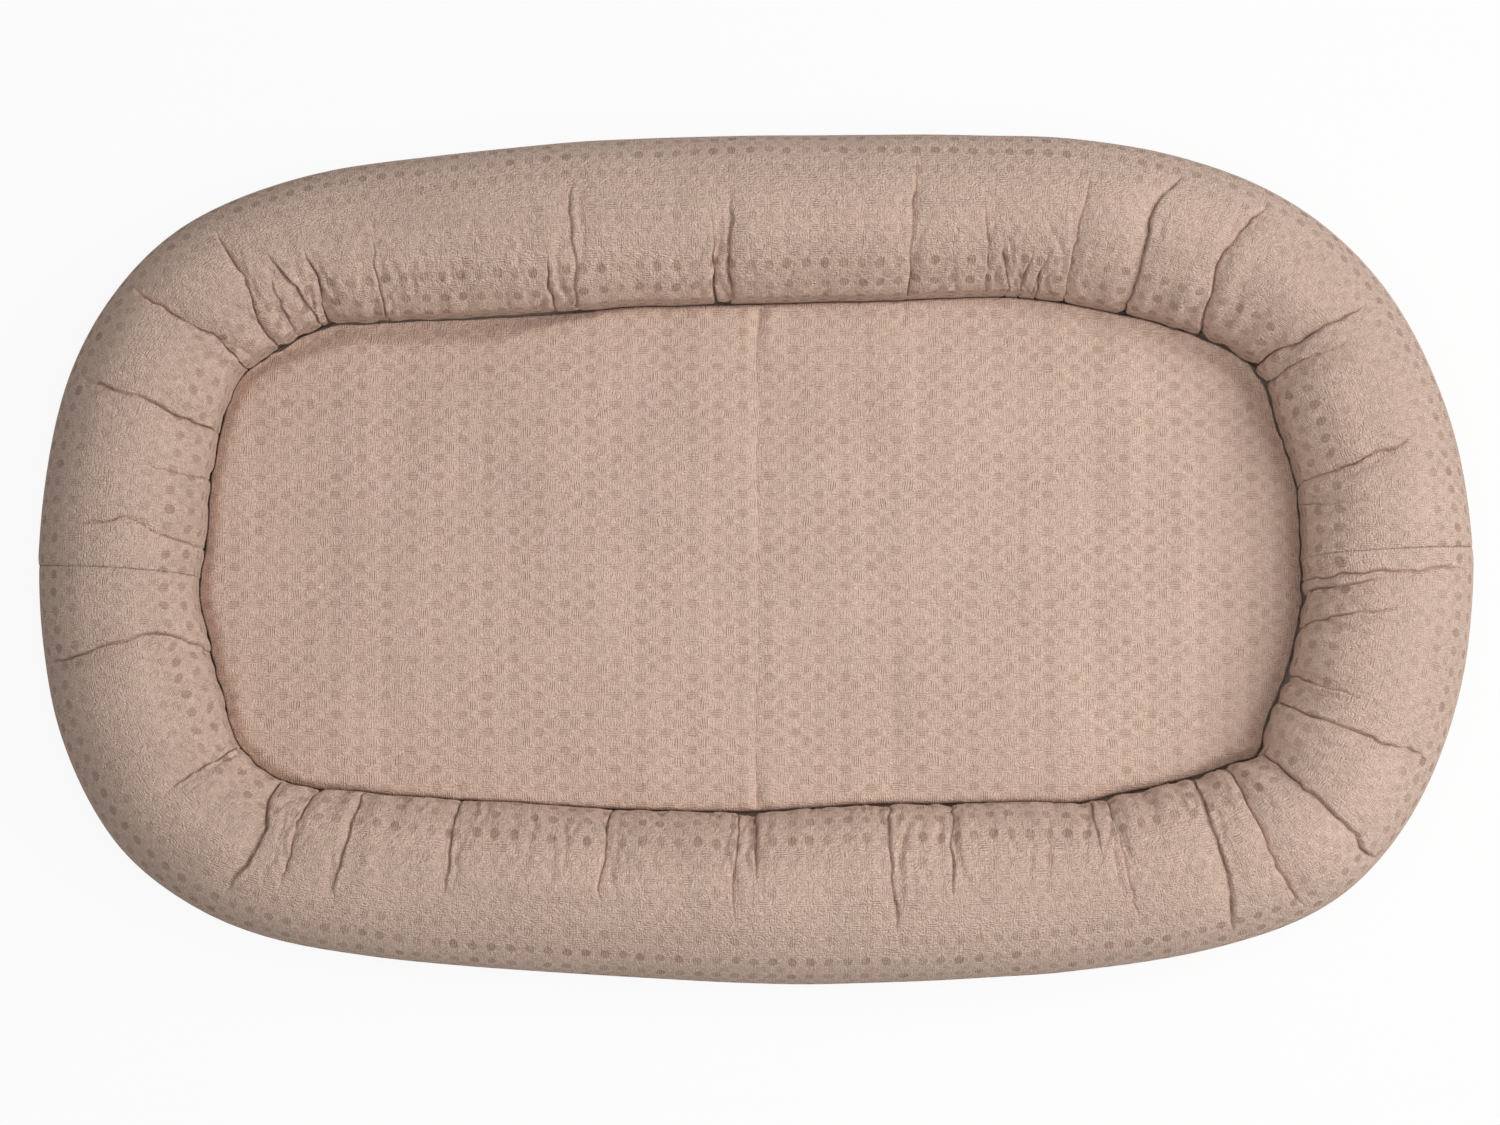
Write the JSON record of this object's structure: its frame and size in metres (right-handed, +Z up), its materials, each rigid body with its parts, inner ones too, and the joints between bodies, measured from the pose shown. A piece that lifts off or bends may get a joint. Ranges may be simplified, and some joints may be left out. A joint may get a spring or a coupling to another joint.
{
  "type": "infant lounger",
  "caption": "Oval infant lounger: a gathered, stuffed ring round a zipped fabric base, with a loose padded mattress lying inside it.",
  "frame": {"origin": "centre of the lounger's outline on the floor that it rests on", "axes": "+X towards the head end along the longer side, +Y to the back long side, +Z up"},
  "size_m": [0.85, 0.5, 0.095],
  "materials": {
    "cotton_dobby": "matte",
    "lining_cotton": "matte",
    "nonwoven": "matte",
    "fibre": "matte",
    "foam": "matte",
    "woven_tape": "matte",
    "coil_plastic": "satin",
    "slider_metal": "satin",
    "label_cloth": "matte"
  },
  "bodies": {
    "nest": {"ring_cover_back": "cotton_dobby", "ring_cover_front": "cotton_dobby", "ring_filling_casing": "nonwoven", "ring_fibre_filling": "fibre", "ring_seam_binding": "woven_tape", "underside_panel_back": "lining_cotton", "underside_panel_front": "lining_cotton", "base_wadding": "fibre", "base_floor_panel": "lining_cotton", "zip_tape_back": "woven_tape", "zip_tape_front": "woven_tape", "zip_coil_back": "coil_plastic", "zip_coil_front": "coil_plastic", "zip_stop_foot": "slider_metal", "zip_stop_head": "slider_metal", "care_label": "label_cloth"},
    "slider": {"zip_slider": "slider_metal"},
    "pull": {"zip_pull_tab": "slider_metal"},
    "mattress": {"mattress_cover_top": "cotton_dobby", "mattress_flap_foot": "cotton_dobby", "mattress_flap_head": "cotton_dobby", "mattress_core": "foam"}
  },
  "joints": [
    {"name": "zip_slide", "type": "slide", "parent": "nest", "child": "slider", "axis": [1, 0, 0], "range_m": [0, 0.487]},
    {"name": "zip_pull_swing", "type": "hinge", "parent": "slider", "child": "pull", "pos_m": [-0.2437, 0, 0.00295], "axis": [0, 1, 0], "range_deg": [0, 175]},
    {"name": "mattress_lift", "type": "slide", "parent": "nest", "child": "mattress", "axis": [0, 0, 1], "range_m": [0, 0.16]}
  ]
}
